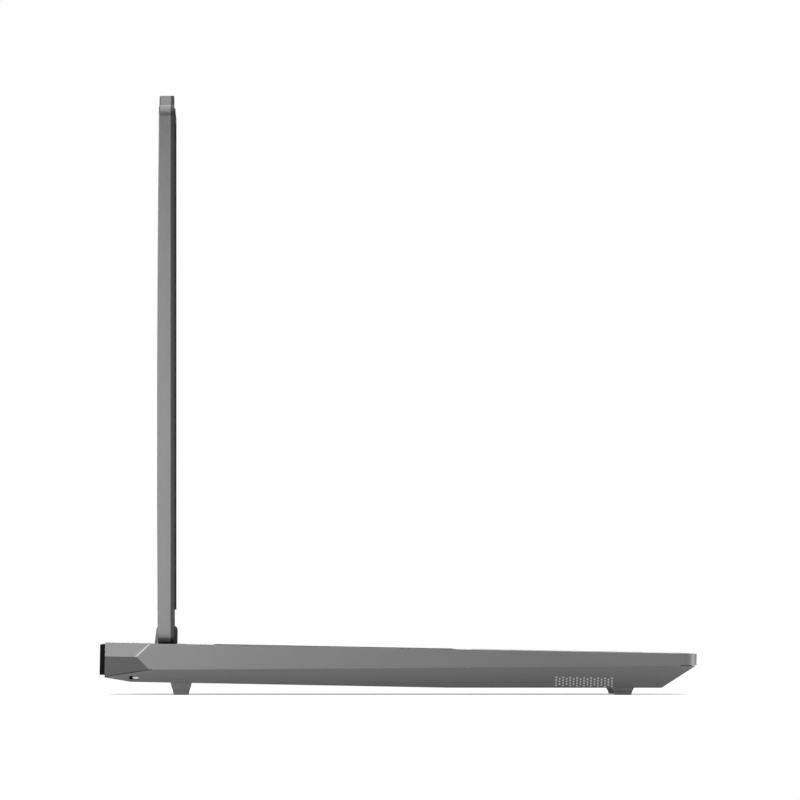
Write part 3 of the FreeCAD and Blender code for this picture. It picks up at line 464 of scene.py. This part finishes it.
def glyph(letter):
    """The outline of one printed character as a thin solid, in millimetres."""
    curve = bpy.data.curves.new("glyph", "FONT")
    curve.body = letter
    curve.size = PRINT_SIZE
    curve.align_x = "CENTER"
    curve.align_y = "CENTER"
    curve.resolution_u = PRINT_RESOLUTION
    curve.extrude = PRINT_HEIGHT
    obj = bpy.data.objects.new("glyph", curve)
    bpy.context.scene.collection.objects.link(obj)
    bpy.context.view_layer.update()
    mesh = obj.evaluated_get(bpy.context.evaluated_depsgraph_get()).to_mesh()
    verts = [tuple(v.co) for v in mesh.vertices]
    faces = [tuple(f.vertices) for f in mesh.polygons]
    bpy.data.objects.remove(obj)
    bpy.data.curves.remove(curve)
    return verts, faces


def key_prints(name, letters, material):
    """Plain printed characters on the caps of one group of keys."""
    verts, faces = [], []
    for letter, (x, y, z) in zip(letters, key_tops(name)):
        outline, loops = glyph(letter)
        first = len(verts)
        verts += [on_deck(x + v[0], y + v[1], z + PRINT_HEIGHT + v[2]) for v in outline]
        faces += [tuple(first + i for i in loop) for loop in loops]
    return new_piece(name + "_prints", verts, faces, material, name)


def area_light(name, place, target, size, power):
    """A soft rectangular lamp."""
    lamp = bpy.data.lights.new(name, "AREA")
    lamp.shape = "RECTANGLE"
    lamp.size, lamp.size_y = size
    lamp.energy = power
    obj = bpy.data.objects.new(name, lamp)
    obj.visible_camera = False
    obj.location = place
    obj.rotation_euler = (Vector(target) - Vector(place)).to_track_quat("-Z", "Y").to_euler()
    bpy.context.scene.collection.objects.link(obj)


def studio(paper):
    """White to the camera and grey to the part, with a pale floor and soft lamps."""
    scene = bpy.context.scene
    scene.view_settings.view_transform = "Standard"
    world = bpy.data.worlds.new("studio")
    scene.world = world
    world.use_nodes = True
    nodes_ = world.node_tree.nodes
    links = world.node_tree.links
    back = nodes_["Background"]
    back.inputs["Color"].default_value = AMBIENT
    white = nodes_.new("ShaderNodeBackground")
    white.inputs["Color"].default_value = WHITE
    path = nodes_.new("ShaderNodeLightPath")
    mix = nodes_.new("ShaderNodeMixShader")
    links.new(path.outputs["Is Camera Ray"], mix.inputs[0])
    links.new(back.outputs[0], mix.inputs[1])
    links.new(white.outputs[0], mix.inputs[2])
    links.new(mix.outputs[0], nodes_["World Output"].inputs["Surface"])

    bpy.ops.mesh.primitive_circle_add(vertices=FLOOR_SIDES, radius=FLOOR_RADIUS, fill_type="NGON",
                                      location=(0, 0, 0))
    floor = bpy.context.object
    floor.name = "floor"
    glow = paper.node_tree.nodes["Principled BSDF"]
    glow.inputs["Emission Color"].default_value = WHITE
    glow.inputs["Emission Strength"].default_value = FLOOR_GLOW
    floor.data.materials.append(paper)

    for name, values in LAMPS.items():
        area_light(name, *values)


def place_camera():
    """The long lens, aimed so that the frame is centred as in the photograph."""
    cam = bpy.data.cameras.new("camera")
    cam.sensor_width = SENSOR_MM
    cam.lens = LENS_MM
    obj = bpy.data.objects.new("camera", cam)
    bpy.context.scene.collection.objects.link(obj)
    distance = VIEW_WIDTH / 2.0 / (SENSOR_MM / 2.0 / LENS_MM)
    obj.location = (NEAR_SIDE_X - distance, CAMERA_Y, CAMERA_Z)
    target = Vector((NEAR_SIDE_X, VIEW_CENTRE_Y, VIEW_CENTRE_Z))
    obj.rotation_euler = (target - obj.location).to_track_quat("-Z", "Y").to_euler()
    cam.clip_start = CLIP_START
    cam.clip_end = CLIP_END
    bpy.context.scene.camera = obj


materials = make_materials()
dress(materials)
for name in EDGE_ROUNDED:
    soften(name, EDGE_ROUND)
for name in FOOT_ROUNDED:
    soften(name, FOOT_ROUND)
for side in (-1, 1):
    painted_light_grille_dots(side, materials["grille_mesh"])
    painted_joint_highlight(side, materials["painted_joint_highlight"])
    seam_strip(side, materials["seam_painted_light_filler"])
painted_lock_highlight(materials["grille_mesh"])
for name, letters in PRINTS.items():
    key_prints(name, letters, materials["key_print"])
studio(materials["floor_paper"])
place_camera()
